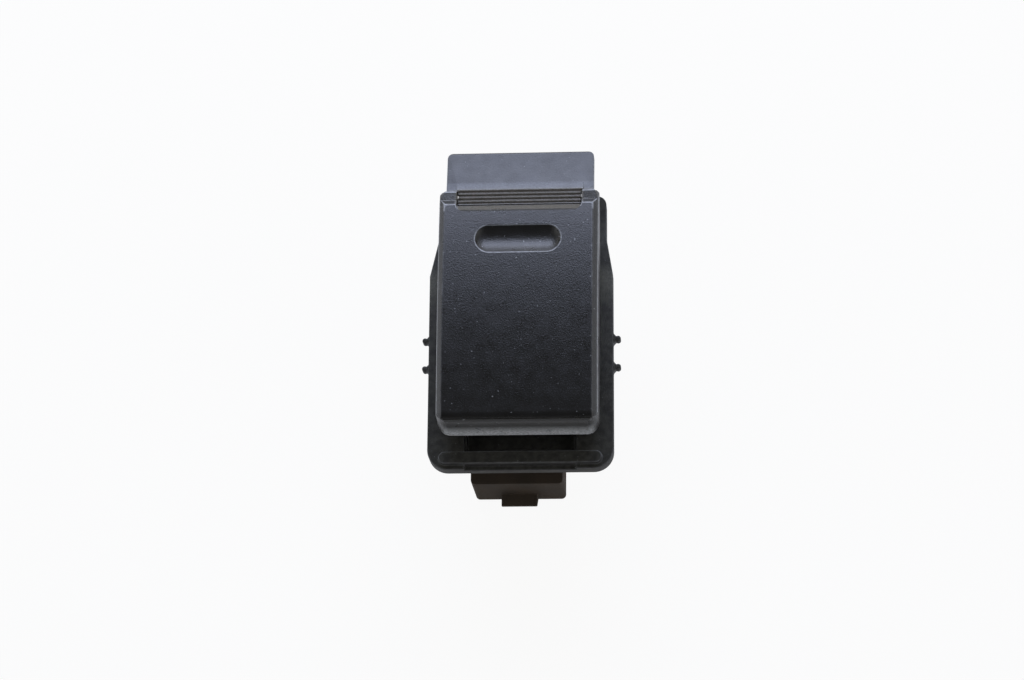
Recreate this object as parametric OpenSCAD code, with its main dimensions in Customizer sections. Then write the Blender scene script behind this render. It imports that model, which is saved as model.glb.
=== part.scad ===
// Power window switch: a rocking key on a snap-in housing, which drives a slide contact.
// X runs across the switch, +Y from the front edge to the finger lip, +Z up through the key.
// Every shape is drawn from the top of the mounting flange and its front edge, and placed()
// then stands the switch on its connector rim, with the middle of its outline at the origin.

/* [Flange] */
// Width of the mounting flange
flange_w = 24; // [22:0.5:30]
// Thickness of the flange
flange_t = 2.5; // [1.6:0.1:3]
// Radius of the two front corners
flange_corner_r = 2.6; // [1:0.1:4]
// Length of the level top, from the front edge to the crest
level_l = 26; // [24:0.5:28]
// Length of the ramp behind the crest
ramp_l = 5.7; // [4:0.1:7]
// Drop of the ramp
ramp_drop = 2.3; // [1.5:0.1:3]
// Length of the low shoulder that hooks under the panel
shoulder_l = 5.9; // [4:0.1:6]
// Width of the low shoulder
shoulder_w = 22.2; // [21:0.1:24]
// Radius of the shoulder's rear corners
shoulder_r = 1.2; // [0.5:0.1:2]
// Length of the stop bar across the front of the flange
bar_w = 21; // [16:0.5:21.5]
// Width of the stop bar, front to back
bar_l = 1.6; // [1.2:0.1:2]
// Height of the stop bar
bar_h = 0.7; // [0.3:0.1:0.8]
// Distance from the flange's front edge to the stop bar
bar_inset = 0.6; // [0.4:0.1:1]
// Width of the drain channel in the front of the flange
channel_w = 14.4; // [8:0.2:15]
// Depth of the drain channel
channel_depth = 0.8; // [0.3:0.1:1.2]
// Reach of each snap nib past the flange's side
nib_reach = 0.95; // [0.4:0.05:1.2]
// Thickness of a snap nib
nib_t = 0.7; // [0.5:0.1:1.2]
// Distance between the two snap nibs of a side
nib_pitch = 3.8; // [3:0.1:6]

/* [Housing body] */
// Outer width of the body below the flange
body_w = 19.6; // [19:0.1:21]
// Outer length of the body
body_l = 28.4; // [27.6:0.1:30]
// Wall of the body
wall = 1.2; // [0.9:0.1:1.4]
// Depth of the body below the flange's top, down to the base
body_depth = 11; // [10.6:0.1:13]
// Distance from the flange's front edge to the body
body_inset = 3.8; // [3:0.1:4.5]
// Width of the collar that carries the key
collar_w = 17.8; // [17.2:0.1:18]
// Length of the collar
collar_l = 20; // [19.6:0.1:22]
// Wall of the collar
collar_wall = 0.95; // [0.8:0.05:1]
// Height of the collar's sides above the flange
collar_h = 3.6; // [3.3:0.1:4]
// Width of a side latch arm
latch_w = 7; // [4:0.5:9]
// Thickness of a side latch arm
latch_t = 0.8; // [0.7:0.1:1.1]
// Distance from each end of the body to the middle of a snap lug
lug_inset = 4.6; // [4:0.1:5.5]

/* [Key cap] */
// Width of the key cap at its skirt
cap_w = 20.5; // [20:0.1:21.5]
// Length of the key cap
cap_l = 32.6; // [31.5:0.1:33.5]
// Reach of the key cap behind the collar
cap_reach = 8.25; // [8:0.05:8.5]
// Height of the crown above the flange
crown_h = 8.1; // [7.8:0.1:9]
// Radius of the crown, front to back
crown_r = 124; // [90:2:200]
// Distance from the cap's front to the highest point of the crown
apex_inset = 7.4; // [6:0.1:9]
// Radius of the front edge of the crown
nose_r = 2; // [1.5:0.1:3]
// Lean of the front wall, in degrees
front_draft = 10; // [4:1:12]
// Length of the low rear end behind the face
heel_l = 2.35; // [2.2:0.05:2.6]
// Wall of the key cap
cap_wall = 1.1; // [0.9:0.05:1.2]
// Width of the bevel along each side of the face
face_bevel = 0.7; // [0.2:0.05:0.8]
// Height of the bevel
bevel_h = 1; // [0.3:0.05:1.2]
// Draft of each side wall, top to skirt
side_draft = 0.1; // [0.05:0.05:0.5]
// Radius of the cap's front corners, seen from above
cap_corner_r = 1.8; // [0.8:0.1:2]
// Radius of its rear corners
cap_rear_r = 0.8; // [0.4:0.1:1.2]
// Distance from the cap's front to the middle of the finger recess
pill_inset = 24.85; // [23:0.05:25.5]
// Length of the finger recess
pill_l = 11.1; // [8:0.1:13]
// Width of the finger recess, front to back
pill_w = 3.5; // [2.5:0.1:4.5]
// Depth of the finger recess
pill_depth = 0.55; // [0.2:0.05:0.7]

/* [Finger lip] */
// Width of the finger lip
lip_w = 19.3; // [17:0.1:19.6]
// Reach of the lip behind the key cap
lip_l = 6.1; // [4:0.1:7]
// Tilt of the lip, down to the rear, in degrees
lip_tilt = 12; // [6:1:14]
// Thickness of the lip
lip_t = 1.6; // [1.2:0.1:2]
// Radius of the lip's rear corners
lip_corner_r = 0.9; // [0.4:0.1:2]
// Width of the ribbed pad in the notch of the key cap
pad_w = 16.6; // [14:0.1:16.8]
// Number of grip ribs
rib_count = 4; // [2:1:5]
// Distance between grip ribs
rib_pitch = 0.6; // [0.4:0.02:0.6]
// Height of a grip rib
rib_h = 0.28; // [0.1:0.02:0.35]

/* [Pivot and drive] */
// Height of the pivot above the flange
pivot_h = 1.5; // [1.4:0.05:1.7]
// Diameter of the lever's two trunnions
trunnion_d = 2.6; // [2:0.1:3]
// Radial clearance of a trunnion in its bore
pivot_fit = 0.05; // [0.02:0.01:0.1]
// Rock of the key each way, in degrees
travel_deg = 6; // [4:0.5:6]
// Distance from the pivot to the middle of the drive arm's round tip
arm_l = 8.5; // [8.3:0.05:8.7]
// Radius of the drive arm's tip
arm_tip_r = 0.95; // [0.8:0.05:1.1]
// Side clearance of parts that slide on each other
slide_gap = 0.1; // [0.05:0.01:0.15]

// Distance from the cap's front to the apron of the lever
apron_inset = 3; // [2.6:0.1:3.2]
// Thickness of the apron
apron_t = 0.9; // [0.7:0.1:1]
// Distance from the pivot to the rear bend of the lever's bridge
bridge_reach = 9; // [8.8:0.1:9.4]

/* [Springs] */
// Outer diameter of a return spring
spring_d = 3.6; // [3:0.1:4]
// Diameter of the spring wire
wire_d = 0.5; // [0.3:0.05:0.6]
// Working turns of a return spring
spring_turns = 5; // [3:1:6]
// Distance from the pivot to each return spring
spring_offset = 7; // [6.5:0.1:7.5]

/* [Contacts] */
// Thickness of the terminal strip
strip_t = 0.4; // [0.3:0.05:0.45]
// Thickness of the sprung wiper strip
wiper_t = 0.25; // [0.15:0.05:0.3]
// Width of a contact pad and of its wiper
track_w = 2.8; // [2:0.1:3.2]
// Distance between the middles of the two contact tracks
track_pitch = 6.4; // [6:0.1:7]
// Diameter of a contact rivet
rivet_d = 1.4; // [1:0.1:1.8]
// Distance from the pivot to each end rivet
rivet_offset = 5.6; // [5.2:0.1:6]
// Distance from an end rivet at rest to the edge that it crosses when the key rocks
rest_gap = 0.5; // [0.4:0.05:0.6]
// Length of an end contact pad past that edge
pad_l = 2.6; // [2:0.1:2.8]
// Length of the middle contact pad
common_l = 6; // [5:0.1:7]
// Thickness of the insulating contact plate
plate_t = 1; // [0.8:0.1:1.2]

/* [Connector] */
// Width of the connector shroud
shroud_w = 12.2; // [12:0.1:13]
// Depth of the connector socket
socket_depth = 7.4; // [6:0.1:10]
// Wall of the shroud
shroud_wall = 1.1; // [0.9:0.1:1.2]
// Radius of the shroud's outer corners
shroud_r = 1.5; // [1.3:0.1:2]
// Thickness of the base above the socket
base_t = 1.6; // [1.2:0.1:2.5]
// Sideways offset of the shroud from the middle
shroud_shift = -1.2; // [-2:0.1:0]
// Distance from the flange's front edge to the shroud
shroud_inset = 0.6; // [0.2:0.1:2]
// Reach of the lock ramp ahead of the shroud
lock_reach = 1.7; // [1:0.1:2.2]
// Width of the lock ramp
lock_w = 4.8; // [3:0.1:7]
// Height of the catch on the lock ramp above the rim
lock_h = 3.5; // [2.5:0.1:5]
// Distance from each end of the shroud to its keying rib
key_rib_inset = 5; // [3:0.1:6]
// Width of a terminal blade
blade_w = 2.3; // [1.5:0.1:2.8]
// Thickness of a terminal blade
blade_t = 0.64; // [0.5:0.02:0.8]
// Distance between terminal blades
blade_pitch = 4; // [3.6:0.1:4.2]
// Distance from the socket's front wall to the middle of the first blade
blade_lead = 6.1; // [5.8:0.1:6.8]
// Distance from the middle of the last blade to the socket's rear wall
blade_trail = 1.7; // [1.5:0.1:2.5]
// Length of the blades inside the socket
blade_l = 6; // [4:0.1:6.5]

/* [Hidden] */

$fn = 48;
eps = 0.01;
seat = 0.3;

satin_black = "#1f2126";
face_black = "#26292f";
base_black = "#1d1a18";
plate_cream = "#b9ad92";
slider_white = "#cfcabc";
tin_brass = "#b99a5b";
bronze = "#a8703f";
silver = "#c4c4c0";
spring_steel = "#8d9096";

// Lengthwise places, from the flange's front edge
ramp_end = level_l + ramp_l;
flange_l = ramp_end + shoulder_l;
pivot_y = body_inset + body_l / 2;
cap_front = pivot_y + collar_l / 2 + cap_reach - cap_l;
cap_rear = cap_front + cap_l;
face_rear = cap_rear - heel_l;
lip_root = cap_rear + seat;
lip_tip = lip_root + lip_l;

// Heights, from the flange's top
cap_seat = crown_h - 2.9;
bridge_t = 1.5;
bridge_under = cap_seat - bridge_t;
skirt_h = 0.6;
collar_low = collar_h - 2;
apron_low = collar_low - seat;
rear_bridge_top = 3.4;
pad_low = 3.5;
lip_top = 3.2;
lip_under = lip_top - lip_t;
tip_z = pivot_h - arm_l;
plate_top = -body_depth + plate_t + strip_t + 0.1;
pad_top = plate_top + strip_t;
slider_under = pad_top + 0.8;
slider_top = tip_z + arm_tip_r + 0.55;
ledge_under = slider_top + seat;
ledge_top = ledge_under + 1.2;
base_under = -body_depth - base_t;
rim_z = base_under - socket_depth;

// The row of blades sets the length of the shroud
blade_count = 5;
shroud_l = 2 * shroud_wall + blade_lead + (blade_count - 1) * blade_pitch + blade_trail;

// Widths
lever_w = collar_w - 2 * collar_wall - 2 * seat;
body_inner_w = body_w - 2 * wall;
cavity_front = body_inset + wall;
cavity_rear = body_inset + body_l - wall;
rail_w = 1.8;
slider_w = body_inner_w - 2 * rail_w;
slider_l = 20;
slider_travel = arm_l * sin(travel_deg);

// Outer limits of the whole switch, which set where the origin lies
front_limit = shroud_inset - lock_reach;
mid_y = (front_limit + lip_tip) / 2;

module placed() translate([0, -mid_y, -rim_z]) children();

// A side view, drawn as (Y, Z), pulled out to a width across X
module across(w, x = 0) translate([x, 0, 0]) rotate([90, 0, 90])
    linear_extrude(w, center = true) children();

module block(x0, x1, y0, y1, z0, z1) translate([x0, y0, z0])
    cube([x1 - x0, y1 - y0, z1 - z0]);

module both_sides() for (side = [0, 1]) mirror([side, 0, 0]) children();

// What is left of a square corner outside its fillet
module corner_waste(r) difference() {
    translate([-1, -1]) square(r + 1);
    translate([r, r]) circle(r);
    translate([r, -2]) square([2 * r, 3 * r + 2]);
    translate([-2, r]) square([3 * r + 2, 2 * r]);
}

// A plan outline with one radius on the front corners and one on the rear
module plan(w, y0, y1, r0, r1) difference() {
    translate([-w / 2, y0]) square([w, y1 - y0]);
    both_sides() translate([-w / 2, y0]) corner_waste(r0);
    both_sides() translate([-w / 2, y1]) mirror([0, 1]) corner_waste(r1);
}

module bore_x(d, x0, x1, y, z) translate([x0, y, z]) rotate([0, 90, 0])
    cylinder(d = d, h = x1 - x0);

// ---------------------------------------------------------------- upper case

module flange_side() polygon([
    [0, 0], [level_l, 0], [ramp_end, -ramp_drop], [flange_l, -ramp_drop],
    [flange_l, -ramp_drop - flange_t], [ramp_end, -ramp_drop - flange_t],
    [level_l, -flange_t], [0, -flange_t]]);

module flange_plan() {
    plan(flange_w, 0, level_l + eps, flange_corner_r, eps);
    polygon([[-flange_w / 2, level_l], [flange_w / 2, level_l],
        [shoulder_w / 2, ramp_end], [-shoulder_w / 2, ramp_end]]);
    plan(shoulder_w, ramp_end - eps, flange_l, eps, shoulder_r);
}

module flange() intersection() {
    translate([0, 0, -flange_t - ramp_drop - 1])
        linear_extrude(flange_t + ramp_drop + 2) flange_plan();
    across(flange_w + 2) flange_side();
}

module stop_bar() translate([0, bar_inset + bar_l / 2, -channel_depth - eps])
    linear_extrude(bar_h + channel_depth + eps) {
        square([bar_w - bar_l, bar_l], center = true);
        both_sides() translate([bar_w / 2 - bar_l / 2, 0]) circle(d = bar_l);
    }

// Nib low on the flange's edge, with a broad root and a round tip
module snap_nib(y) both_sides() translate([flange_w / 2, y, -flange_t])
    linear_extrude(flange_t * 0.6) {
        polygon([[-eps, -nib_t], [nib_reach * 0.35, -nib_t * 0.45],
            [nib_reach - nib_t / 2, -nib_t * 0.45], [nib_reach - nib_t / 2, nib_t * 0.45],
            [nib_reach * 0.35, nib_t * 0.45], [-eps, nib_t]]);
        translate([nib_reach - nib_t / 2, 0]) circle(d = nib_t);
    }

// Cantilever latch: rooted low on the body's side, with a wedge near its free top, which
// catches under a panel as thick as the ramp is deep
latch_gap = 0.5;
latch_reach = 0.55;
latch_root = -body_depth + 1;
latch_tip = -flange_t - ramp_drop - slide_gap;

module latch_arm() both_sides()
    translate([body_w / 2 + latch_gap + latch_t / 2, pivot_y, 0]) {
        translate([-latch_t / 2, -latch_w / 2, latch_root])
            cube([latch_t, latch_w, latch_tip - latch_root]);
        translate([-latch_gap - latch_t / 2 - eps, -latch_w / 2, latch_root])
            cube([latch_gap + latch_t + eps, latch_w, 1.4]);
        rotate([90, 0, 0]) linear_extrude(latch_w - 1.6, center = true)
            polygon([[latch_t / 2 - eps, latch_tip], [latch_t / 2 + latch_reach, latch_tip - 1.2],
                [latch_t / 2 + latch_reach, latch_tip - 1.6], [latch_t / 2 - eps, latch_root + 2.2]]);
    }

// Four windows near the body's lower edge take the snap lugs of the base
lug_w = 4;
lug_h = 1.5;
lug_z = -body_depth + 1.2;
lug_offset = body_l / 2 - lug_inset;
upstand_top = lug_z + lug_h + seat;
module lug_places() for (end = [-1, 1]) translate([0, pivot_y + end * lug_offset, lug_z])
    both_sides() translate([body_inner_w / 2, 0, 0]) children();

module upper_case() color(satin_black) placed() difference() {
    union() {
        flange();
        stop_bar();
        for (end = [-1, 1]) snap_nib(pivot_y - 2.35 + end * nib_pitch / 2);
        block(-body_w / 2, body_w / 2, body_inset, body_inset + body_l,
            -body_depth, -flange_t + eps);
        block(-body_w / 2, body_w / 2, level_l, body_inset + body_l,
            -body_depth, -flange_t + eps - ramp_drop * 0.4);
        block(-collar_w / 2, collar_w / 2, pivot_y - collar_l / 2, pivot_y + collar_l / 2,
            -flange_t, collar_h);
        latch_arm();
    }
    // Drain channel in front of and behind the stop bar, and the deep slot behind it
    difference() {
        block(-channel_w / 2, channel_w / 2, -1, pivot_y - collar_l / 2 - 0.6,
            -channel_depth, 1);
        stop_bar();
    }
    block(-channel_w / 2 + 0.3, channel_w / 2 - 0.3, bar_inset + bar_l + 0.5,
        body_inset + wall + 1.4, -flange_t + 0.5, 1);
    // Low ends of the collar, so that the lever can dip
    block(-collar_w, collar_w, pivot_y - collar_l, pivot_y - collar_l / 2 + collar_wall + 0.7,
        collar_low, collar_h + 1);
    block(-collar_w, collar_w, pivot_y + collar_l / 2 - collar_wall - 0.7, pivot_y + collar_l,
        collar_low, collar_h + 1);
    // Well through the collar, and the cavity below
    block(-collar_w / 2 + collar_wall, collar_w / 2 - collar_wall,
        pivot_y - collar_l / 2 + collar_wall, pivot_y + collar_l / 2 - collar_wall,
        -flange_t - 1, collar_h + 1);
    difference() {
        block(-body_inner_w / 2, body_inner_w / 2, cavity_front, cavity_rear,
            -body_depth - 1, -flange_t);
        // under the ramp the roof of the cavity follows the low shoulder
        block(-body_w, body_w, pivot_y + collar_l / 2 - collar_wall, cavity_rear + 1,
            -flange_t - ramp_drop, 0);
        spring_ledges();
        guide_rails();
    }
    // Trunnion bores
    bore_x(trunnion_d + 2 * pivot_fit, -collar_w, collar_w, pivot_y, pivot_h);
    // Windows for the lugs of the base
    lug_places() block(-0.5, wall + 1, -lug_w / 2 - slide_gap, lug_w / 2 + slide_gap,
        -slide_gap, lug_h + slide_gap);
}

// Ledges across the cavity, one under each return spring, with a locating stub
module spring_ledges() for (end = [-1, 1]) translate([0, pivot_y + end * spring_offset, 0]) {
    block(-body_inner_w, body_inner_w, -2.2, 2.2, ledge_under, ledge_top);
    translate([0, 0, ledge_top - eps]) cylinder(d = spring_d - 2 * wire_d - 0.5, h = 1.2);
}

// Rails on the cavity's side walls that guide the slider
module guide_rails() both_sides()
    block(slider_w / 2 + slide_gap, body_inner_w, cavity_front - 1, cavity_rear + 1,
        upstand_top + slide_gap, slider_top - 0.4);

// ------------------------------------------------------- base and contact plate

blade_x = shroud_shift;
shroud_front_r = 0.6;
key_rib_h = 0.7;
key_rib_w = 1.2;
function blade_y(i) = shroud_inset + shroud_wall + blade_lead + i * blade_pitch;

module shroud_plan(grow) translate([shroud_shift, 0])
    plan(shroud_w + 2 * grow, shroud_inset - grow, shroud_inset + shroud_l + grow,
        shroud_front_r + grow / 4, shroud_r + grow);

module terminal_base() color(base_black) placed() difference() {
    union() {
        block(-body_w / 2, body_w / 2, body_inset, body_inset + body_l,
            base_under, -body_depth);
        translate([0, 0, rim_z]) linear_extrude(-body_depth - rim_z) shroud_plan(0);
        // Upstand inside the case, cut back round the contact plate
        difference() {
            block(-body_inner_w / 2 + slide_gap, body_inner_w / 2 - slide_gap,
                cavity_front + slide_gap, cavity_rear - slide_gap,
                -body_depth - eps, upstand_top);
            block(-plate_half_w - slide_gap, plate_half_w + slide_gap,
                plate_front - slide_gap, plate_rear + slide_gap, -body_depth, 0);
        }
        // Corner seats that carry the contact plate above the terminal strips
        for (y = [plate_front, plate_rear - plate_seat])
            both_sides() block(plate_half_w - 2 * plate_seat, plate_half_w, y, y + plate_seat,
                -body_depth - eps, plate_top - plate_t);
        // Snap lugs in the windows of the case
        lug_places() rotate([90, 0, 0]) linear_extrude(lug_w, center = true)
            polygon([[-0.6, 0], [wall - 0.2, 0], [wall - 0.2, 0.4],
                [-slide_gap, lug_h], [-0.6, lug_h]]);
        // Lock ramp on the front of the shroud, with its catch facing up
        translate([shroud_shift, 0, 0]) across(lock_w) polygon([
            [shroud_inset + eps, rim_z + 0.3],
            [shroud_inset - lock_reach, rim_z + lock_h - 0.5],
            [shroud_inset - lock_reach, rim_z + lock_h], [shroud_inset + eps, rim_z + lock_h]]);
        // Keying ribs down the shroud's long sides
        for (y = [shroud_inset + key_rib_inset, shroud_inset + shroud_l - key_rib_inset])
            translate([shroud_shift, y, 0]) both_sides()
                block(shroud_w / 2 - eps, shroud_w / 2 + key_rib_h, -key_rib_w / 2, key_rib_w / 2,
                    rim_z + key_rib_h, base_under + eps);
    }
    // Socket
    translate([0, 0, rim_z - 1]) linear_extrude(socket_depth + 1)
        shroud_plan(-shroud_wall);
    // Slots for the blades
    for (i = [0:blade_count - 1]) translate([blade_x, blade_y(i), 0])
        block(-blade_t / 2 - slot_fit, blade_t / 2 + slot_fit,
            -blade_w / 2 - slot_fit, blade_w / 2 + slot_fit, base_under - 1, -body_depth + 1);
}

plate_half_w = body_inner_w / 2 - 1.3;
plate_front = cavity_front + 1;
plate_rear = cavity_rear - 1;
plate_seat = 1;
module contact_plate() color(plate_cream) placed() difference() {
    block(-plate_half_w, plate_half_w, plate_front, plate_rear,
        plate_top - plate_t, plate_top);
    for (i = [0:blade_count - 1]) translate([drop_x[i], drop_y(i), 0])
        block(-strip_t / 2 - slot_fit, strip_t / 2 + slot_fit,
            -drop_w / 2 - slot_fit, drop_w / 2 + slot_fit, plate_top - 2 * plate_t, plate_top + 1);
}

// ------------------------------------------------------------------- terminals

// Each terminal is one stamped strip: a contact pad on the plate, a drop through the
// plate, a flat run under it and a blade down into the socket.
track_x = track_pitch / 2;
drop_w = 1.2;
slot_fit = 0.05;
spine_w = 1.2;
rivet_front = pivot_y - rivet_offset;
rivet_rear = pivot_y + rivet_offset;
motor_drop = common_l / 2 - drop_w - 0.5;
drop_x = [0, -track_x, -track_x, track_x, track_x];
function drop_y(i) = [blade_y(0), rivet_front - rest_gap - drop_w / 2, pivot_y - motor_drop,
    pivot_y + motor_drop, rivet_rear + rest_gap + drop_w / 2][i];
run_z = plate_top - plate_t - strip_t;
blade_tip = base_under - blade_l;
blade_point = 0.8;

module top_strip(x0, x1, y0, y1) block(x0, x1, y0, y1, plate_top, pad_top);

module under_run(x0, x1, y0, y1) block(x0, x1, y0, y1, run_z, run_z + strip_t);

// Drop, run and blade of terminal i; the run goes along Y first and then across X
module lead(i) {
    translate([drop_x[i], drop_y(i), 0])
        block(-strip_t / 2, strip_t / 2, -drop_w / 2, drop_w / 2, run_z, pad_top);
    under_run(drop_x[i] - strip_t / 2, drop_x[i] + strip_t / 2 + eps,
        min(drop_y(i), blade_y(i)) - drop_w / 2, max(drop_y(i), blade_y(i)) + drop_w / 2);
    under_run(min(drop_x[i], blade_x) - strip_t / 2, max(drop_x[i], blade_x) + strip_t / 2,
        blade_y(i) - drop_w / 2, blade_y(i) + drop_w / 2);
    translate([blade_x, blade_y(i), 0]) {
        block(-blade_t / 2, blade_t / 2, -blade_w / 2, blade_w / 2,
            blade_tip + blade_point, run_z + strip_t);
        // Chamfered tip
        across(blade_t) polygon([[-blade_w / 2, blade_tip + blade_point + eps],
            [blade_w / 2, blade_tip + blade_point + eps], [blade_w / 4, blade_tip],
            [-blade_w / 4, blade_tip]]);
    }
}

// Pad on the left track, side -1, or on the right track, side 1
module track_pad(side, y0, y1)
    top_strip(side * track_x - track_w / 2, side * track_x + track_w / 2, y0, y1);

// The supply runs down the middle and ends in a pad behind one track and before the other
module terminal_supply() color(tin_brass) placed() {
    pad_rear = rivet_rear + rest_gap + pad_l;
    pad_front = rivet_front - rest_gap - pad_l;
    lead(0);
    top_strip(-spine_w / 2, spine_w / 2, drop_y(0) - drop_w / 2, pad_rear);
    top_strip(-track_x - track_w / 2, 0, pad_rear - pad_l, pad_rear);
    top_strip(0, track_x + track_w / 2, pad_front, pad_front + pad_l);
}

module terminal_return_a() color(tin_brass) placed() {
    lead(1);
    track_pad(-1, rivet_front - rest_gap - pad_l, rivet_front + rest_gap);
}

module terminal_motor_a() color(tin_brass) placed() {
    lead(2);
    track_pad(-1, pivot_y - common_l / 2, pivot_y + common_l / 2);
}

module terminal_motor_b() color(tin_brass) placed() {
    lead(3);
    track_pad(1, pivot_y - common_l / 2, pivot_y + common_l / 2);
}

module terminal_return_b() color(tin_brass) placed() {
    lead(4);
    track_pad(1, rivet_rear - rest_gap, rivet_rear + rest_gap + pad_l);
}

// --------------------------------------------------------------- return springs

// A coil as one swept tube, with its turns worked out along a helix
coil_steps = 14;
coil_sides = 6;
spring_foot = ledge_top + 0.05;
spring_head = bridge_under - 0.05;
function coil_ring(i, r, z0, rise) =
    let (a = 360 * i / coil_steps, c = [r * cos(a), r * sin(a), z0 + rise * i / coil_steps])
    [for (k = [0:coil_sides - 1]) let (b = 360 * k / coil_sides)
        c + wire_d / 2 * [cos(b) * cos(a), cos(b) * sin(a), sin(b)]];

module coil(z0, z1, turns, r) {
    rise = (z1 - z0 - wire_d) / turns;
    last = turns * coil_steps;
    rings = [for (i = [0:last]) each coil_ring(i, r, z0 + wire_d / 2, rise)];
    sides = [for (i = [0:last - 1], k = [0:coil_sides - 1])
        let (a = i * coil_sides + k, b = i * coil_sides + (k + 1) % coil_sides)
        [a, b, b + coil_sides, a + coil_sides]];
    caps = [[for (k = [coil_sides - 1:-1:0]) k],
        [for (k = [0:coil_sides - 1]) last * coil_sides + k]];
    polyhedron(points = rings, faces = concat(sides, caps));
}

module return_spring(end) translate([0, pivot_y + end * spring_offset, 0])
    coil(spring_foot, spring_head, spring_turns, (spring_d - wire_d) / 2);

module return_spring_front() color(spring_steel) placed() return_spring(-1);
module return_spring_rear() color(spring_steel) placed() return_spring(1);

// --------------------------------------------------------------------- key cap

crown_apex = cap_front + apex_inset;
function crown_z(y) = crown_h - crown_r + sqrt(crown_r * crown_r - pow(y - crown_apex, 2));

// The nose is an arc between the leaning front wall and the crown
skirt_front = 2.6;
nose_z = crown_z(cap_front + nose_r) - nose_r;
nose_y = cap_front + (nose_z - skirt_front) * tan(front_draft) + nose_r / cos(front_draft);

// Side view of the cap's face, from the foot of the front wall back along the crown
function cap_side(low, inset) =
    let (r = nose_r - inset, y1 = face_rear - inset,
        foot = nose_y - r * cos(front_draft)
            - (nose_z + r * sin(front_draft) - low) * tan(front_draft))
    concat([[foot, low]],
        [for (i = [0:12]) let (a = front_draft + (90 - front_draft) * i / 12)
            [nose_y - r * cos(a), nose_z + r * sin(a)]],
        [for (i = [1:28]) let (y = nose_y + (y1 - nose_y) * i / 28) [y, crown_z(y) - inset]]);

module cap_slab(half_w, drop, low, inset) across(2 * half_w)
    polygon(concat([for (p = cap_side(low, inset)) [p[0], max(p[1] - drop, low)]],
        [[cap_rear - inset, cap_ledge - inset - drop], [cap_rear - inset, low]]));

cap_ledge = crown_z(face_rear) - 1.3;

// Whole outer form at inset 0, and the form of the hollow at a wall's inset
module cap_form(inset) {
    half = cap_w / 2 - inset;
    hull() {
        cap_slab(half - side_draft - face_bevel, 0, skirt_h, inset);
        cap_slab(half - side_draft, bevel_h, skirt_h, inset);
        block(-half, half, cap_front + inset, cap_rear - inset, skirt_h - 0.4, skirt_h);
    }
}

// Everything that the rear of the cap gives up: the sloped end wall, the flat ledges and
// the notch with its scoop, where the ribbed pad of the lever shows
notch_w = pad_w + 0.3;
notch_r = 1.3;
scoop_front = face_rear - 1.1;
notch_front = face_rear + 0.2;
module cap_rear_cuts() {
    across(cap_w + 2) polygon([[face_rear, crown_z(face_rear)],
        [face_rear + 0.9, cap_ledge], [cap_rear + 1, cap_ledge - 0.15],
        [cap_rear + 1, crown_h], [face_rear, crown_h]]);
    intersection() {
        translate([0, 0, -1]) linear_extrude(crown_h + 2)
            plan(notch_w, scoop_front, cap_rear + 1, notch_r, eps);
        across(cap_w) polygon([[scoop_front, crown_z(scoop_front)],
            [notch_front, rear_bridge_top + 1.3], [notch_front, -1], [cap_rear + 1, -1],
            [cap_rear + 1, crown_h + 1], [scoop_front, crown_h + 1]]);
    }
    // way for the lever under the scoop
    block(-lever_w / 2 - seat, lever_w / 2 + seat, bridge_low - seat, cap_rear + 1,
        -1, rear_bridge_top + seat);
}

// Finger recess: a scoop with round ends, sunk into the crown
pill_y = cap_front + pill_inset;
pill_r = pill_w * pill_w / 8 / pill_depth + pill_depth / 2;
module finger_recess() translate([0, pill_y, crown_z(pill_y) - pill_depth + pill_r]) {
    bore_x(2 * pill_r, -(pill_l - pill_w) / 2, (pill_l - pill_w) / 2, 0, 0);
    both_sides() translate([(pill_l - pill_w) / 2, 0, 0]) sphere(pill_r);
}

// Underside of the skirt: lowest at the pivot and rising to both ends, for the rock
skirt_rise = tan(travel_deg + 1.5);
module skirt_cut() across(cap_w + 2) polygon([
    [cap_front - 1, -1], [cap_rear + 1, -1],
    [cap_rear + 1, skirt_h + (cap_rear + 1 - pivot_y) * skirt_rise],
    [pivot_y, skirt_h], [cap_front - 1, skirt_h + (pivot_y - cap_front + 1) * skirt_rise]]);

clip_x = 6.2;
clip_w = 1.6;
clip_l = 2.4;
clip_offset = 7;
module clip_places() for (end = [-1, 1]) translate([0, pivot_y + end * clip_offset, 0])
    both_sides() translate([clip_x, 0, 0]) children();

// Clip leg through the lever's bridge, with a hook on each face under it
module clip_leg() {
    block(-clip_w / 2, clip_w / 2, -clip_l / 2, clip_l / 2, bridge_under - 1.1, crown_h);
    across(clip_w) polygon([
        [-clip_l / 2 - 0.4, bridge_under - slide_gap],
        [clip_l / 2 + 0.4, bridge_under - slide_gap],
        [clip_l / 2 - 0.3, bridge_under - 1.1], [-clip_l / 2 + 0.3, bridge_under - 1.1]]);
}

// Upright form with the cap's rounded corners, which leans with the front wall
module cap_corners() hull() {
    lean = tan(front_draft);
    linear_extrude(eps)
        plan(cap_w, cap_front - skirt_front * lean, cap_rear, cap_corner_r, cap_rear_r);
    translate([0, 0, crown_h]) linear_extrude(1)
        plan(cap_w - eps, cap_front + (crown_h - skirt_front) * lean - eps, cap_rear,
            cap_corner_r + 0.6, cap_rear_r);
}

module key_cap() color(face_black) placed() difference() {
    intersection() {
        union() {
            difference() {
                cap_form(0);
                intersection() {
                    cap_form(cap_wall);
                    block(-cap_w, cap_w, 0, face_rear - 2.2, -1, crown_h + 1);
                }
            }
            intersection() {
                cap_form(eps);
                union() {
                    // Cross ribs that sit on the lever's bridge
                    for (end = [-1, 1]) translate([0, pivot_y + end * 4.2, 0])
                        block(-cap_w / 2 + 0.5, cap_w / 2 - 0.5, -0.5, 0.5, cap_seat, crown_h);
                    clip_places() clip_leg();
                }
            }
        }
        cap_corners();
    }
    cap_rear_cuts();
    finger_recess();
    skirt_cut();
}

// ---------------------------------------------------------------- rocker lever

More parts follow.
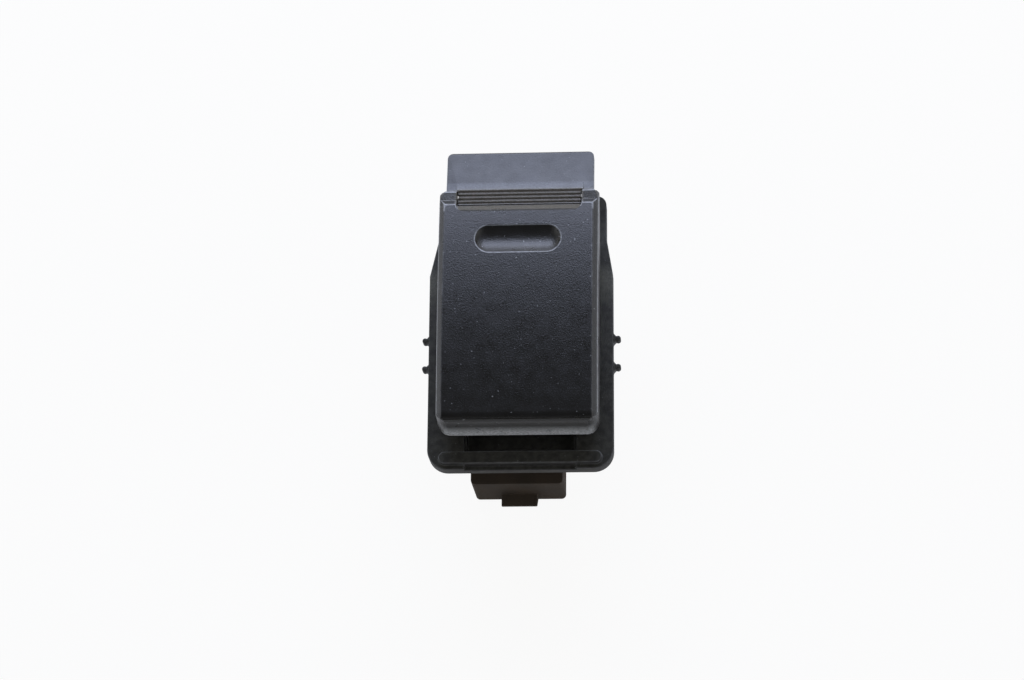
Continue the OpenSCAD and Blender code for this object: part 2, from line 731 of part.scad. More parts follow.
pad_front = notch_front + 0.2;
rib_start = lip_root + 0.1;
function rib_base(y) = pad_low + (rib_start - y) * 0.4;
function lip_z(y) = lip_top - (y - lip_root) * tan(lip_tilt);

// Ribs across the pad: a row of small crests on its sloping top
module pad_side() {
    polygon([[pad_front, lip_under], [pad_front, rib_base(pad_front)],
        [rib_start, rib_base(rib_start)], [rib_start + 1.3, lip_z(rib_start + 1.3)],
        [rib_start + 1.3, lip_under]]);
    for (i = [0:rib_count - 1]) let (y = rib_start - 0.15 - i * rib_pitch)
        polygon([[y - rib_pitch * 0.3, rib_base(y) - 0.1],
            [y - rib_pitch * 0.12, rib_base(y) + rib_h],
            [y + rib_pitch * 0.12, rib_base(y) + rib_h],
            [y + rib_pitch * 0.3, rib_base(y) - 0.1]]);
}

// Side view of the bridge: level under the cap, then down to the pad
bridge_front = cap_front + apron_inset + apron_t / 2;
bridge_bend = pivot_y + bridge_reach;
bridge_low = bridge_bend + 3.2;
rib_end = bridge_bend - 0.4;
module bridge_side() polygon([
    [bridge_front, cap_seat], [bridge_bend, cap_seat],
    [bridge_low, rear_bridge_top], [pad_front + eps, rear_bridge_top],
    [pad_front + eps, lip_under], [bridge_low, rear_bridge_top - bridge_t],
    [rib_end, bridge_under], [bridge_front, bridge_under]]);

// The lip is a slab that leans down to the rear about its root
lip_edge_r = 0.45;
lip_slab = (lip_l - lip_edge_r * (1 - sin(lip_tilt))) / cos(lip_tilt) + lip_edge_r;
module leaning() translate([lip_root, lip_top]) rotate(-lip_tilt) children();

module lip_side() leaning() translate([-1, -lip_t]) difference() {
    square([lip_slab + 1, lip_t]);
    translate([lip_slab + 1, 0]) rotate(90) corner_waste(0.35);
    translate([lip_slab + 1, lip_t]) rotate(180) corner_waste(lip_edge_r);
}

module drive_arm() across(2 * (rib_x + 0.5)) {
    polygon([[pivot_y - 1.5, bridge_under + eps], [pivot_y + 1.5, bridge_under + eps],
        [pivot_y + 0.6, slider_top + 0.6], [pivot_y + 0.55, tip_z],
        [pivot_y - 0.55, tip_z], [pivot_y - 0.6, slider_top + 0.6]]);
    translate([pivot_y, tip_z]) circle(arm_tip_r);
}

rib_x = 3.9;
rib_keel = 12;
keel_z = -0.6;
cheek_t = 1.1;
lip_rib_t = 0.9;
lip_rib_pitch = 6;
module rocker_lever() color(satin_black) placed() {
    difference() {
        union() {
            across(lever_w) bridge_side();
            across(pad_w) pad_side();
            intersection() {
                across(lip_w) lip_side();
                translate([0, 0, lip_top - 3 * lip_t]) linear_extrude(4 * lip_t)
                    plan(lip_w, lip_root - eps, lip_tip, eps, lip_corner_r);
            }
            drive_arm();
            // Long ribs under the bridge
            both_sides() across(1, rib_x) polygon([
                [bridge_front + 2, bridge_under + eps], [rib_end, bridge_under + eps],
                [rib_end, bridge_under - 1.2], [pivot_y + rib_keel / 2, keel_z],
                [pivot_y - rib_keel / 2, keel_z], [bridge_front + 2, bridge_under - 1.2]]);
            // Cheeks that carry the trunnions
            both_sides() across(cheek_t, lever_w / 2 - cheek_t / 2) {
                polygon([[pivot_y - 3.4, bridge_under + eps], [pivot_y + 3.4, bridge_under + eps],
                    [pivot_y + 2, pivot_h], [pivot_y - 2, pivot_h]]);
                translate([pivot_y, pivot_h]) circle(2.1);
            }
            // Apron that closes the gap between the cap and the collar
            block(-lever_w / 2, lever_w / 2, cap_front + apron_inset,
                cap_front + apron_inset + apron_t, apron_low, cap_seat);
            // Ribs under the lip
            for (i = [-1, 0, 1]) across(lip_rib_t, i * lip_rib_pitch) leaning() polygon([
                [-1, -lip_t + eps], [lip_slab - 1.4, -lip_t + eps],
                [lip_slab - 2.6, -lip_t - 0.5], [-1, -lip_t - 0.5]]);
        }
        // Windows for the clip legs of the cap
        clip_places() block(-clip_w / 2 - slide_gap, clip_w / 2 + slide_gap,
            -clip_l / 2 - slide_gap, clip_l / 2 + slide_gap,
            bridge_under - 0.5, cap_seat + 0.5);
    }
    both_sides() bore_x(trunnion_d, lever_w / 2 - eps, collar_w / 2 - 0.1, pivot_y, pivot_h);
}

// ------------------------------------------------------- slider and its wipers

slot_w = 2 * (arm_tip_r + pivot_fit);
slider_floor = 0.9;
pocket_l = 5.6;
wiper_end = 0.9;
wiper_w = track_w - 0.4;
wiper_sag = 0.35;
wiper_lift = 0.06;
wiper_flat = 4.8;
module contact_slider() color(slider_white) placed() difference() {
    union() {
        block(-slider_w / 2, slider_w / 2, pivot_y - slider_l / 2, pivot_y + slider_l / 2,
            slider_under, slider_top);
    }
    // Slot for the drive arm
    block(-rib_x - 0.9, rib_x + 0.9, pivot_y - slot_w / 2, pivot_y + slot_w / 2,
        slider_under - 1, slider_top + 1);
    // Coring pockets in the top
    for (end = [-1, 1]) both_sides() translate([slider_w / 4, pivot_y + end * rivet_offset, 0])
        block(-slider_w / 4 + 1, slider_w / 4 - 1.2, -pocket_l / 2, pocket_l / 2,
            slider_under + slider_floor, slider_top + 1);
    // Beds for the two wipers
    both_sides() block(track_x - track_w / 2, track_x + track_w / 2,
        rivet_front - wiper_end - seat, rivet_rear + wiper_end + seat,
        slider_under - 1, slider_under + wiper_t);
}

// Strip with its middle held in the bed and both ends sprung down
module wiper_side() polygon([
    [rivet_front - wiper_end, slider_under - wiper_sag],
    [pivot_y - wiper_flat / 2, slider_under], [pivot_y + wiper_flat / 2, slider_under],
    [rivet_rear + wiper_end, slider_under - wiper_sag],
    [rivet_rear + wiper_end, slider_under - wiper_sag + wiper_t],
    [pivot_y + wiper_flat / 2, slider_under + wiper_t],
    [pivot_y - wiper_flat / 2, slider_under + wiper_t],
    [rivet_front - wiper_end, slider_under - wiper_sag + wiper_t]]);

module wiper(side) across(wiper_w, side * track_x) wiper_side();

// Domed rivets, so that each touches its track at one point
module dome_rivet(h) intersection() {
    cylinder(d = rivet_d, h = h);
    translate([0, 0, rivet_d]) sphere(rivet_d);
}

module wiper_rivets(side) translate([side * track_x, 0, pad_top + wiper_lift]) {
    for (y = [rivet_front, rivet_rear]) translate([0, y, 0])
        dome_rivet(slider_under - wiper_sag - pad_top - wiper_lift);
    translate([0, pivot_y, 0]) dome_rivet(slider_under - pad_top - wiper_lift);
}

module wiper_left() color(bronze) placed() wiper(-1);
module wiper_right() color(bronze) placed() wiper(1);
module wiper_rivets_left() color(silver) placed() wiper_rivets(-1);
module wiper_rivets_right() color(silver) placed() wiper_rivets(1);

upper_case();
terminal_base();
contact_plate();
terminal_supply();
terminal_return_a();
terminal_motor_a();
terminal_motor_b();
terminal_return_b();
return_spring_front();
return_spring_rear();
key_cap();
rocker_lever();
contact_slider();
wiper_left();
wiper_right();
wiper_rivets_left();
wiper_rivets_right();
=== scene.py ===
import math

import bmesh
import bpy
from mathutils import Matrix, Vector


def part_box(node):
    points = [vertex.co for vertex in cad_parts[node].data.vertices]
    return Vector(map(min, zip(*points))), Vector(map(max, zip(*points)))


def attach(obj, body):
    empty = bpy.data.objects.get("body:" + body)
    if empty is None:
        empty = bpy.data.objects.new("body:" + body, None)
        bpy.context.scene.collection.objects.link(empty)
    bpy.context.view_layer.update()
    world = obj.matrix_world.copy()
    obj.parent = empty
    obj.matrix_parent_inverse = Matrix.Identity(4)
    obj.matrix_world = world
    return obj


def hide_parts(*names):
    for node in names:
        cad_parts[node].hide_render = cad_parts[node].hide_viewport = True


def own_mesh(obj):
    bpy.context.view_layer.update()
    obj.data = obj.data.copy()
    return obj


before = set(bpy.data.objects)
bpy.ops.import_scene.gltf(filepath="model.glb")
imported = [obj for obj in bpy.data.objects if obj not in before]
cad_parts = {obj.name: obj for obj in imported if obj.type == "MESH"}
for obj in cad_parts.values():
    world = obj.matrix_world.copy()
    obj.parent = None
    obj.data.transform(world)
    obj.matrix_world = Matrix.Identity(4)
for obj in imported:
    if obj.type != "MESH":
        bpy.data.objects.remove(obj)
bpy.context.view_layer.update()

# ---------------------------------------------------------------- terminals
# Five strips of half-hard brass, stamped, folded and then tinned, that end as blades in the
# socket. They are pressed through the base and their tops are the fixed contacts.
MM = 0.001


def linear(code):
    """An sRGB hex colour as linear RGBA."""
    parts = [int(code[i:i + 2], 16) / 255 for i in (1, 3, 5)]
    return [p / 12.92 if p <= 0.04045 else ((p + 0.055) / 1.055) ** 2.4 for p in parts] + [1]


def add(tree, kind, settings):
    """One node. A setting is an attribute, or a socket by name or number, given a value or link."""
    node = tree.nodes.new(kind)
    for key, value in settings.items():
        if isinstance(key, str) and hasattr(node, key):
            setattr(node, key, value)
        elif isinstance(value, bpy.types.NodeSocket):
            tree.links.new(value, node.inputs[key])
        else:
            node.inputs[key].default_value = value
    return node


def blank(name):
    """A new node material: its tree, and its Object coordinates."""
    made = bpy.data.materials.new(name)
    made.use_nodes = True
    made.node_tree.nodes.clear()
    where = add(made.node_tree, "ShaderNodeTexCoord", {}).outputs["Object"]
    return made, made.node_tree, where


def stretched(tree, factor, low, high, start=0.0, end=1.0):
    """The factor from low to high, turned into start to end."""
    return add(tree, "ShaderNodeMapRange", {
        "Value": factor, "From Min": low, "From Max": high, "To Min": start, "To Max": end,
    }).outputs[0]


def blend(tree, factor, first, second):
    """A colour between two others."""
    return add(tree, "ShaderNodeMix", {
        "data_type": "RGBA", "Factor": factor, 6: first, 7: second}).outputs[2]


def both(tree, one, other):
    """The product of two factors."""
    return add(tree, "ShaderNodeMath", {"operation": "MULTIPLY", 0: one, 1: other}).outputs[0]


def mottle(tree, where, size_mm, detail=2.0, run=(1, 1, 1)):
    """Random spots about size_mm across, drawn out along an axis whose run is small."""
    at = add(tree, "ShaderNodeMapping", {"Vector": where, "Scale": run}).outputs[0]
    return add(tree, "ShaderNodeTexNoise", {
        "Vector": at, "Scale": 1 / (size_mm * MM), "Detail": detail}).outputs["Fac"]


def finish(tree, settings):
    """The shader and the output."""
    shader = add(tree, "ShaderNodeBsdfPrincipled", settings)
    add(tree, "ShaderNodeOutputMaterial", {"Surface": shader.outputs[0]})


def dress(piece, material):
    """Gives the piece this one material."""
    piece.data.materials.clear()
    piece.data.materials.append(material)


def metal(name, tone, stain, rough, run):
    """Rolled or drawn metal: fine lines along the way it was worked, and patches of tarnish."""
    made, tree, where = blank(name)
    lines = mottle(tree, where, 0.25, 3, run)
    tarnish = stretched(tree, mottle(tree, where, 1.2, 3), 0.4, 0.7)
    bump = add(tree, "ShaderNodeBump", {
        "Height": lines, "Strength": 0.3, "Distance": 0.01 * MM}).outputs[0]
    finish(tree, {
        "Base Color": blend(tree, tarnish, linear(tone), linear(stain)),
        "Metallic": 1.0, "Normal": bump,
        "Roughness": stretched(tree, lines, 0.3, 0.7, rough - 0.06, rough + 0.08)})
    return made


# tinned brass: soft grey-yellow, darker where the tin has gone dull
tinned_brass = metal("tinned_brass_stamped", "#c3baa2", "#9c8a5e", 0.3, (1, 1, 0.08))
for node in ("terminal_supply", "terminal_return_a", "terminal_motor_a", "terminal_motor_b",
             "terminal_return_b"):
    dress(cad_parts[node], tinned_brass)

# ---------------------------------------------------------------- contact plate
# A flat insulator of filled phenolic, moulded, that holds the fixed contacts in one plane.
# It drops into the base before the slider.


def moulding(name, body, cloud, rough):
    """A plain moulded plastic: faint clouding in its colour and a fine mould texture."""
    made, tree, where = blank(name)
    patch = stretched(tree, mottle(tree, where, 2.5, 4), 0.35, 0.7)
    grain = mottle(tree, where, 0.15, 2)
    bump = add(tree, "ShaderNodeBump", {
        "Height": grain, "Strength": 0.4, "Distance": 0.01 * MM}).outputs[0]
    finish(tree, {
        "Base Color": blend(tree, patch, linear(body), linear(cloud)), "IOR": 1.5,
        "Normal": bump, "Roughness": stretched(tree, grain, 0.3, 0.7, rough - 0.04, rough + 0.06)})
    return made


dress(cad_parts["contact_plate"], moulding("phenolic_moulded", "#b9ad92", "#a8997a", 0.5))

# ---------------------------------------------------------------- slider and wipers
# The slider is natural acetal, moulded, and runs on the contact plate. Each wiper is a spring
# strip of phosphor bronze, heat-staked to it, with two silver rivets that touch the contacts.
dress(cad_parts["contact_slider"], moulding("acetal_moulded", "#cfcabc", "#c2bba8", 0.35))
bronze = metal("phosphor_bronze_strip", "#b97a4a", "#8e5a38", 0.28, (1, 0.08, 1))
silver = metal("silver_rivet_headed", "#d8d6cf", "#a9a59a", 0.22, (1, 1, 1))
for side in ("left", "right"):
    dress(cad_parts["wiper_" + side], bronze)
    dress(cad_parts["wiper_rivets_" + side], silver)

# ---------------------------------------------------------------- return springs
# Two compression springs of drawn spring steel wire, coiled, that bring the key back to the
# middle. They stand on the base and press up under the lever; here they ride with the housing
# at one length.


def placed(form, name):
    """A smooth-shaded object of a bmesh, its sharp folds kept."""
    for face in form.faces:
        face.smooth = True
    mesh = bpy.data.meshes.new(name)
    form.to_mesh(mesh)
    form.free()
    mesh.set_sharp_from_angle(angle=math.radians(32))
    piece = bpy.data.objects.new(name, mesh)
    bpy.context.scene.collection.objects.link(piece)
    return piece


def welded(node):
    """A solid's mesh with its loose triangles joined up."""
    form = bmesh.new()
    form.from_mesh(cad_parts[node].data)
    bmesh.ops.remove_doubles(form, verts=form.verts, dist=0.002 * MM)
    return form


spring_wire = metal("spring_steel_drawn", "#a9abaf", "#83807c", 0.25, (1, 1, 0.2))
for end in ("front", "rear"):
    coil = placed(welded("return_spring_" + end), "coil_spring_" + end)
    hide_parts("return_spring_" + end)
    dress(coil, spring_wire)
    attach(coil, "housing")
    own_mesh(coil)

# ---------------------------------------------------------------- connector base
# The lower shell with the plug's shroud, moulded in black glass-filled PBT. It snaps up into
# the case, and its skin is matt and brownish with dirt.


def softened(node, name, width, wear_and_sheen, first=(), fit=None, room=2.4):
    """A welded copy of a solid with its sharp edges rounded, which takes the solid's place.

    fit moves the copy's corners, width (mm) is the round and room how many widths of face it
    needs beside it. The faces of a round carry, as "edge", how pale their skin is painted,
    which the fourth argument returns for (middle, normal): rubbed skin, and on the key also
    painted highlight. Each of first picks out edges that are rounded beforehand: how to pick
    them, the width of face they need, their own width, steps and paleness.
    """
    least_turn = math.radians(28)
    form = welded(node)
    if fit:
        for vert in form.verts:
            vert.co = fit(vert.co)
    bmesh.ops.dissolve_limit(form, angle_limit=math.radians(0.05), verts=form.verts,
                             edges=form.edges)
    mark = form.faces.layers.float.new("edge")

    def sharp(wide):
        """The sharp edges left whose two faces are both this wide (mm)."""
        return [e for e in form.edges
                if e.is_manifold and e.calc_face_angle(0) > least_turn
                and all(f[mark] == 0 and f.calc_area() > wide * MM * e.calc_length()
                        for f in e.link_faces)]

    def rounded(edges, offset, steps, value, held):
        """Rounds these edges by offset (mm); held keeps it from running over small faces."""
        made = bmesh.ops.bevel(form, geom=edges, offset=offset * MM, offset_type="OFFSET",
                               affect="EDGES", segments=steps, profile=0.5, clamp_overlap=held,
                               loop_slide=True, material=-1)
        for face in made["faces"]:
            face[mark] = value(face.calc_center_median(), face.normal)

    for pick, wide, own_width, steps, own_wear_and_sheen in first:
        rounded([e for e in sharp(wide)
                 if pick((e.verts[0].co + e.verts[1].co) / 2, [f.normal for f in e.link_faces])],
                own_width, steps, own_wear_and_sheen, False)
    rounded(sharp(room * width), width, 2, wear_and_sheen, False)
    rounded(sharp(0.1), 0.04, 1, wear_and_sheen, True)
    bmesh.ops.dissolve_degenerate(form, dist=0.001 * MM, edges=form.edges)
    piece = placed(form, name)
    even = piece.modifiers.new("even_normals", "WEIGHTED_NORMAL")
    even.weight, even.keep_sharp = 100, True
    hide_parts(node)
    return piece


def within(tree, place, bounds):
    """A factor that rises from 0 at start to 1 at full, along every axis listed."""
    factor = 1.0
    for axis, start, full in bounds:
        factor = both(tree, stretched(tree, place.outputs[axis], start, full), factor)
    return factor


def black_plastic(name, body, haze, dust, settled, rough, caught, patches=(), specks=0.0,
                  bare_and_sheen="#a4a7ab", gloss=0.5, ior=1.5, grain=(0.22, 0.03)):
    """Black moulded plastic after years of use.

    haze clouds the body colour, dust lies on faces that look up (settled) and in corners
    (caught), each patch is a colour, how much of it there is and where it starts and is full
    (some patches are dust, some painted highlight and reflection, as noted where given),
    specks are small light chips, the pale edge colour is laid along rounded edges as rubbed
    skin and, on the key, as painted highlight too, and grain is the size and height of the
    mould texture in mm.
    """
    made, tree, where = blank(name)
    place = add(tree, "ShaderNodeSeparateXYZ", {"Vector": where})
    fleck = mottle(tree, where, 0.45, 3)
    colour = blend(tree, stretched(tree, mottle(tree, where, 3.0, 4), 0.35, 0.7),
                   linear(body), linear(haze))

    facing = add(tree, "ShaderNodeNewGeometry", {}).outputs["Normal"]
    upward = add(tree, "ShaderNodeSeparateXYZ", {"Vector": facing}).outputs["Z"]
    lying = both(tree, stretched(tree, upward, 0.6, 0.98, 0, settled),
                 stretched(tree, mottle(tree, where, 0.9, 5), 0.35, 0.6, 0.35, 1))
    colour = blend(tree, lying, colour, linear(dust))
    crumbs = mottle(tree, where, 0.28, 4)
    for tone, amount, bounds in patches:
        there = both(tree, within(tree, place, bounds),
                     stretched(tree, crumbs, 0.34, 0.66, 0.6 * amount, 1.2 * amount))
        colour = blend(tree, there, colour, linear(tone))

    open_air = add(tree, "ShaderNodeAmbientOcclusion", {
        "samples": 6, "Distance": 0.8 * MM}).outputs["AO"]
    corner = both(tree, stretched(tree, open_air, 0.8, 0.4, 0, caught),
                  stretched(tree, fleck, 0.38, 0.6, 0.3, 1))
    colour = blend(tree, corner, colour, linear(dust))

    chip = stretched(tree, mottle(tree, where, 0.4, 1), 0.74, 0.79, 0, specks)
    colour = blend(tree, chip, colour, linear(bare_and_sheen))

    # The pale edge colour along rounded edges: rubbed skin, and on the key also a painted highlight
    # along the rim, the rear edge of the face and the recess rim.
    edge = add(tree, "ShaderNodeAttribute", {"attribute_name": "edge"}).outputs["Fac"]
    rubbed = both(tree, edge, stretched(tree, mottle(tree, where, 0.8, 4), 0.35, 0.6, 0.5, 1))
    colour = blend(tree, rubbed, colour, linear(bare_and_sheen))

    bump = add(tree, "ShaderNodeBump", {
        "Height": mottle(tree, where, grain[0], 2), "Strength": 0.8, "Distance": grain[1] * MM,
    }).outputs[0]
    handled = mottle(tree, where, 1.5, 4)
    finish(tree, {
        "Base Color": colour, "Normal": bump, "IOR": ior, "Specular IOR Level": gloss,
        "Roughness": stretched(tree, handled, 0.3, 0.7, rough - 0.04, rough + 0.06)})
    return made


base = softened("terminal_base", "connector_base", 0.12, lambda middle, normal: 0.02)
dress(base, black_plastic("pbt_glass_filled_matt", "#433b33", "#4c4238", "#6b5f4c", 0.06, 0.75,
                          0.3, gloss=0.2))
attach(base, "housing")

# ---------------------------------------------------------------- case
# The upper shell with the flange that lies on the door trim, moulded in black nylon. Dust has
# settled on the flange, and its rims are rubbed pale by fingers and cloths.
flange_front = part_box("upper_case")[0][1]
flange_top = 20 * MM
# The ramp behind the flange: where its painted reflection starts and where it is full.
ramp_foot, ramp_sheen_full = flange_front + 21.5 * MM, flange_front + 24.5 * MM
bar_front, bar_rear = flange_front + 0.4 * MM, flange_front + 4 * MM


def case_worn(middle, normal):
    """The bar and the channel in front of the key are rubbed more than the rest."""
    return 0.2 if bar_front < middle.y < bar_rear and middle.z > flange_top - 0.2 * MM else 0.07


case = softened("upper_case", "housing_case", 0.14, case_worn)
dress(case, black_plastic(
    "nylon_moulded_satin", "#201f1e", "#282725", "#62625a", 0.32, 0.5, 0.5, specks=0.3, gloss=0.25,
    # The pale greenish patch on the ramp is a painted reflection of the rear light.
    patches=[("#7c7c70", 0.35, [
        ("Y", ramp_foot, ramp_sheen_full), ("Y", ramp_sheen_full + 3 * MM, ramp_sheen_full + 1.5 * MM),
        ("Z", flange_top - 2.6 * MM, flange_top - 2.2 * MM)])]))
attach(case, "housing")

# ---------------------------------------------------------------- lever
# The inner rocker with the finger lip and its ribbed pad, moulded in black ABS. Its trunnions
# turn in the case, and the key shell clips on over it.
pad_front, lip_root = flange_front + 34 * MM, flange_front + 36.55 * MM
pad_top = flange_top + 3.5 * MM
pad_side = 7 * MM, 8.4 * MM
lip_shorter, pad_narrower = 0.033, 0.964


def lever_fit(place):
    """The solid's lever with a slightly shorter lip and a narrower pad."""
    x, y, z = place
    if y > lip_root:
        y -= (y - lip_root) * lip_shorter
    elif y > pad_front and pad_side[0] < abs(x) < pad_side[1]:
        x *= pad_narrower
    return Vector((x, y, z))


lever = softened("rocker_lever", "lever_with_lip", 0.065, lambda middle, normal: 0.25,
                 fit=lever_fit)
dress(lever, black_plastic(
    "abs_moulded_satin", "#15171b", "#1d2026", "#6e675a", 0.05, 0.32, 0.8, specks=0.3, ior=1.58,
    grain=(0.22, 0.02), patches=[
        ("#98938a", 0.55, [("Y", lip_root + 0.4 * MM, lip_root),
                           ("Z", pad_top - 1.3 * MM, pad_top - 0.9 * MM)]),
        # The pale bluish band at the root of the lip is a painted highlight where it faces the rear
        # light.
        ("#8f959f", 0.2, [("Y", lip_root, lip_root + 0.3 * MM),
                          ("Y", lip_root + 1.4 * MM, lip_root + 1.1 * MM)])]))
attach(lever, "rocker")

# ---------------------------------------------------------------- key
# The shell that the finger presses, moulded in black ABS with a spark-grained face. Its rims
# are painted pale, most of all at the heel and round the sides: partly rubbed skin, partly a
# painted highlight. A near-white patch on the nose's front wall is partly rubbed skin, partly a
# painted reflection.
key_low, key_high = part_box("key_cap")
key_half = key_high[0]
# the rest in mm, from the middle of the flange's front edge: y back, z up
skirt_foot, face_end, ledge = 0.6, 33.9, 4.7
key_seat = Vector((0, flange_front, key_low[2] - skirt_foot * MM))
face_rear = flange_front + face_end * MM
ledge_top = key_seat.z + ledge * MM
crown_radius, crown_top_y, crown_top_z, crown_steps = 124, 11.05, 8.1, 28
bevel_start, bevel_wide = 9.45, 0.7
# the nose: the middle of its round and the top of the wall below, before and after
nose_from, nose_to = Vector((6.277, 5.982)), Vector((5.707, 6.46))
nose_tighter, nose_reach, nose_lean = 0.5, 0.05, 0.17
wall_top_from, wall_top_to = 6.33, 6.668
wall_foot_back, wall_top_ahead = 0.07, 0.157
# the finger recess: where it starts and ends, before and after, and the face it is moved in
pill_from, pill_to = (26.75, 30.25), (27.35, 31.15)
pill_room = (25.0, 32.5)
pill_half, pill_skin, pill_deeper = 6, 1.2, 1.18
# the side walls: one leaning plane each, a little fuller to the rear
side_skin, side_half, side_draft, side_rise = 10.14, 10.25, 0.1, 6.5
side_inner, side_fuller, side_fuller_back = 8.7, 0.1, 0.003
notch_front, notch_inner, notch_run, notch_narrower = 32.5, 7, 1.45, 0.3


def crown(y):
    """Height of the face's curve over the flange."""
    return crown_top_z - crown_radius + math.sqrt(crown_radius ** 2 - (y - crown_top_y) ** 2)


def between(value, marks, goals):
    """The value carried from the marks to the goals, in straight stretches."""
    for low, high, start, end in zip(marks, marks[1:], goals, goals[1:]):
        if low <= value <= high:
            return start + (end - start) * (value - low) / (high - low)
    return value


def moved(y):
    """Where a place on the face goes when the recess does."""
    near, far = pill_room
    return between(y, (near, *pill_from, far), (near, *pill_to, far))


old_steps = [nose_from.x + (face_end - nose_from.x) * i / crown_steps
             for i in range(crown_steps + 1)]
new_steps = [moved(step) for step in old_steps]


def on_crown(y, steps):
    """Height of the face itself, whose curve is made of straight steps."""
    return between(y, steps, [crown(step) for step in steps])


def key_fit(place):
    """The solid's shell with a tighter nose, fuller sides and the finger recess further back."""
    x, y, z = (place - key_seat) / MM
    drop = min(max((abs(x) - bevel_start) / bevel_wide, 0), 1)
    arm = Vector((y, z + drop)) - nose_from
    if y < nose_from.x + nose_reach and arm.y > -nose_lean * arm.x:
        y, z = nose_to + arm * (1 - nose_tighter / max(arm.length, 1))
        z -= drop
    elif y < nose_from.x and z > skirt_foot:
        up = (z - skirt_foot) / (wall_top_from - skirt_foot)
        y += wall_foot_back - wall_top_ahead * up
        z = skirt_foot + (wall_top_to - skirt_foot) * up
    elif pill_room[0] < y < pill_room[1] and z > crown(y) - pill_skin:
        sunk = on_crown(y, old_steps) - z
        y = moved(y)
        z = on_crown(y, new_steps) - sunk * (pill_deeper if abs(x) < pill_half else 1)
    side = math.copysign(1, x)
    if abs(x) > side_skin:
        x = side * (side_half - side_draft * (z - skirt_foot) / side_rise)
    if abs(x) > side_inner:
        x += side * (side_fuller + side_fuller_back * y)
    elif y > notch_front and abs(x) > notch_inner:
        x -= side * notch_narrower * (abs(x) - notch_inner) / notch_run
    return key_seat + Vector((x, y, z)) * MM


def key_rim(middle, normals):
    """The outermost line of the shell: the top of its side walls, its front foot and its heel."""
    side = abs(middle.x) > key_half - 0.6 * MM
    foot = middle.y < key_low[1] + 1.2 * MM and middle.z < key_low[2] + 4 * MM
    heel = middle.y > key_high[1] - 0.5 * MM and middle.z > key_low[2] + 3 * MM
    outward = any(abs(n.x) > 0.9 or abs(n.y) > 0.9 for n in normals)
    return (side or foot or heel) and outward


def rim_wear_and_sheen(middle, normal):
    """Rim paint, rubbed skin and painted highlight: a thin line over the side walls, elsewhere all
    over.
    """
    side = abs(middle.x) > key_half - 0.6 * MM and abs(normal.x) > 0.5
    return 0.75 if 0.2 < normal.z < 0.41 or not side else 0.1


def recess_rim(middle, normals):
    """The line where the finger recess meets the face."""
    x, y, z = (middle - key_seat) / MM
    slack = 0.5
    return (abs(x) < pill_half + slack and pill_to[0] - slack < y < pill_to[1] + slack
            and z > crown(y) - 0.05)


def key_wear_and_sheen(middle, normal):
    """Other edges, rubbed skin and painted highlight: the rear of the face most, its sides ever
    less.
    """
    if abs(middle.y - face_rear) < 0.6 * MM:
        return 0.7
    return 0.2 if middle.z > key_high[2] - 3 * MM and middle.y > 0 else 0.1


# The rim, the recess rim and the other edges are painted pale: partly rubbed skin, partly a painted
# highlight.
key = softened("key_cap", "key_shell", 0.14, key_wear_and_sheen, fit=key_fit, room=1.3, first=[
    (key_rim, 0.3, 0.32, 3, rim_wear_and_sheen),
    (recess_rim, 0, 0.09, 2, lambda middle, normal: 0.6)])
nose_ahead = (key_low[1] + 2.6 * MM, key_low[1] + 1.4 * MM)
dress(key, black_plastic(
    "abs_spark_grained", "#0d0d0d", "#121213", "#6e675a", 0.0, 0.3, 0.7, specks=0.5, ior=1.58,
    grain=(0.17, 0.045), patches=[
        # The near-white patch on the nose's front wall, palest towards its foot, is partly rubbed
        # skin and partly a painted reflection.
        ("#d2d4d6", 0.9, [("Y", *nose_ahead), ("Z", key_seat.z + 5.8 * MM, key_seat.z + 3.6 * MM),
                          ("X", -10 * MM, -9.3 * MM), ("X", 10 * MM, 9.3 * MM)]),
        ("#8a8270", 0.4, [("Y", face_rear - 1.3 * MM, face_rear - 0.9 * MM),
                          ("X", -8.5 * MM, -8.1 * MM), ("X", 8.5 * MM, 8.1 * MM),
                          ("Z", key_seat.z + 5.95 * MM, key_seat.z + 5.65 * MM)]),
        ("#77756a", 0.16, [("Y", face_rear, face_rear + 0.3 * MM),
                           ("Z", ledge_top - 0.9 * MM, ledge_top - 0.5 * MM),
                           ("Z", ledge_top + 0.4 * MM, ledge_top + 0.1 * MM)])]))
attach(key, "rocker")

# ---------------------------------------------------------------- table
# A white laminate table top, which keeps the switch's shadow.
table_mesh = bpy.data.meshes.new("studio_table")
form = bmesh.new()
bmesh.ops.create_grid(form, x_segments=1, y_segments=1, size=1.2)
form.to_mesh(table_mesh)
form.free()
table = bpy.data.objects.new("studio_table", table_mesh)
bpy.context.scene.collection.objects.link(table)
laminate, tree, where = blank("white_laminate")
own = add(tree, "ShaderNodeBsdfPrincipled", {
    "Base Color": blend(tree, mottle(tree, where, 40), linear("#f6f6f4"), linear("#f1f1ee")),
    "Roughness": 0.6}).outputs[0]
glow = add(tree, "ShaderNodeEmission", {"Color": linear("#ffffff"), "Strength": 1.0}).outputs[0]
seen = add(tree, "ShaderNodeLightPath", {})
direct = add(tree, "ShaderNodeMath", {
    "operation": "MAXIMUM", 0: both(tree, seen.outputs["Is Camera Ray"], 0.93),
    1: both(tree, seen.outputs["Is Glossy Ray"], 0.3)}).outputs[0]
surface = add(tree, "ShaderNodeMixShader", {0: direct, 1: own, 2: glow}).outputs[0]
add(tree, "ShaderNodeOutputMaterial", {"Surface": surface})
dress(table, laminate)

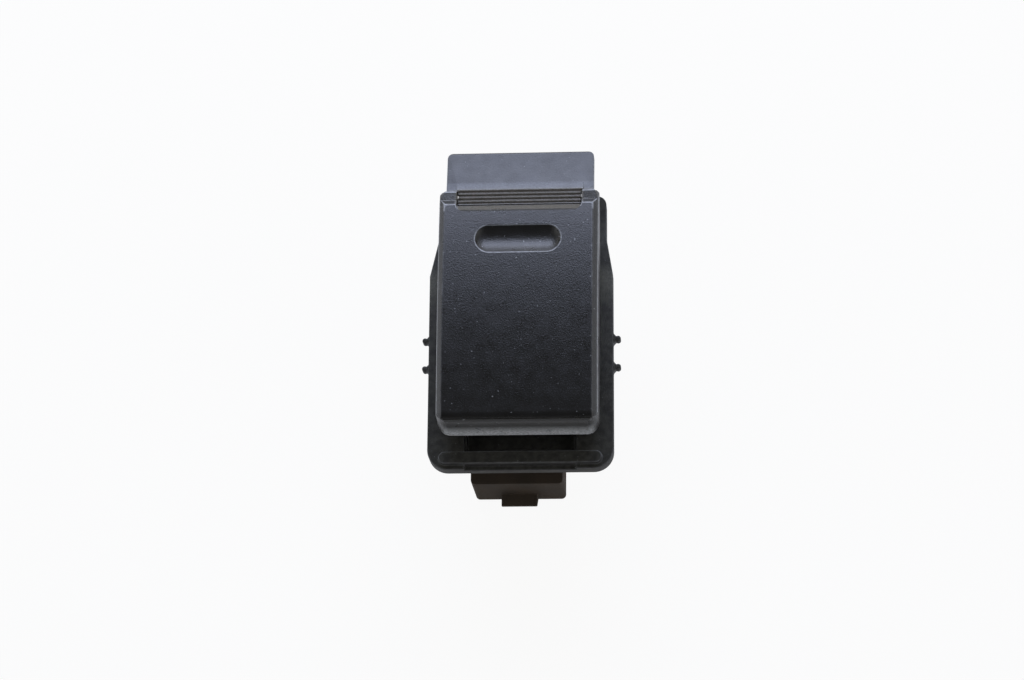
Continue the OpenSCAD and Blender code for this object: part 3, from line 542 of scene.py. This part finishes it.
# ---------------------------------------------------------------- room and lamps
# A pale room whose far walls are bright and whose ceiling and near wall are dim, with one large
# soft box high behind the switch and a weaker one at each side.
world = bpy.data.worlds.new("studio_room")
bpy.context.scene.world = world
world.use_nodes = True
room = world.node_tree
room.nodes.clear()
look = add(room, "ShaderNodeTexCoord", {}).outputs["Generated"]
way = add(room, "ShaderNodeSeparateXYZ", {"Vector": look}).outputs
tone = add(room, "ShaderNodeMapRange", {
    "Value": way["Z"], "From Min": 0.08, "From Max": 0.55, "To Min": 1.0, "To Max": 0.16,
    "interpolation_type": "SMOOTHSTEP"}).outputs[0]
tone = both(room, tone, stretched(room, way["Y"], -0.7, 0.1, 0.6, 1))
air = add(room, "ShaderNodeBackground", {"Color": linear("#ffffff"), "Strength": tone}).outputs[0]
add(room, "ShaderNodeOutputWorld", {"Surface": air})

aim = Vector((-1.14 * MM, flange_front + 17.18 * MM, 20 * MM))


def soft_box(name, turn, rise, reach, wide, tall, glare, code):
    """A soft box that faces the switch, with the radiance glare."""
    light = bpy.data.lights.new(name, "AREA")
    light.shape = "RECTANGLE"
    light.size, light.size_y = wide, tall
    light.energy = glare * math.pi * wide * tall
    light.color = linear(code)[:3]
    stood = bpy.data.objects.new(name, light)
    bpy.context.scene.collection.objects.link(stood)
    t, r = math.radians(turn), math.radians(rise)
    way = Vector((math.sin(t) * math.cos(r), math.cos(t) * math.cos(r), math.sin(r)))
    stood.location = aim + way * reach
    stood.rotation_mode = "QUATERNION"
    stood.rotation_quaternion = way.to_track_quat("Z", "Y")
    stood.visible_camera = False


soft_box("rear_soft_box", 0, 32, 0.5, 0.48, 0.36, 4.9, "#d6dffa")
soft_box("left_soft_box", -95, 35, 0.5, 0.3, 0.2, 1.0, "#ffffff")
soft_box("right_soft_box", 95, 35, 0.5, 0.3, 0.2, 1.0, "#ffffff")

# ---------------------------------------------------------------- camera
# A portrait lens above the front edge, tipped back from the vertical.
lens = bpy.data.cameras.new("camera")
camera = bpy.data.objects.new("camera", lens)
bpy.context.scene.collection.objects.link(camera)
bpy.context.scene.camera = camera
lens.sensor_width = 36
lens.lens = 94.75
rise, aside, roll = math.radians(73.5), math.radians(4), math.radians(0.4)
distance = 0.35
back = Vector((math.sin(aside), -math.cos(rise) * math.cos(aside),
               math.sin(rise) * math.cos(aside))).normalized()
right = Vector((0, 1, 0)).cross(back).normalized()
up = back.cross(right)
right, up = (right * math.cos(roll) + up * math.sin(roll),
             up * math.cos(roll) - right * math.sin(roll))
camera.rotation_mode = "QUATERNION"
camera.location = aim + back * distance
camera.rotation_quaternion = Matrix((right, up, back)).transposed().to_quaternion()
lens.clip_start, lens.clip_end = 0.01, 10

bpy.context.scene.view_settings.view_transform = "Standard"
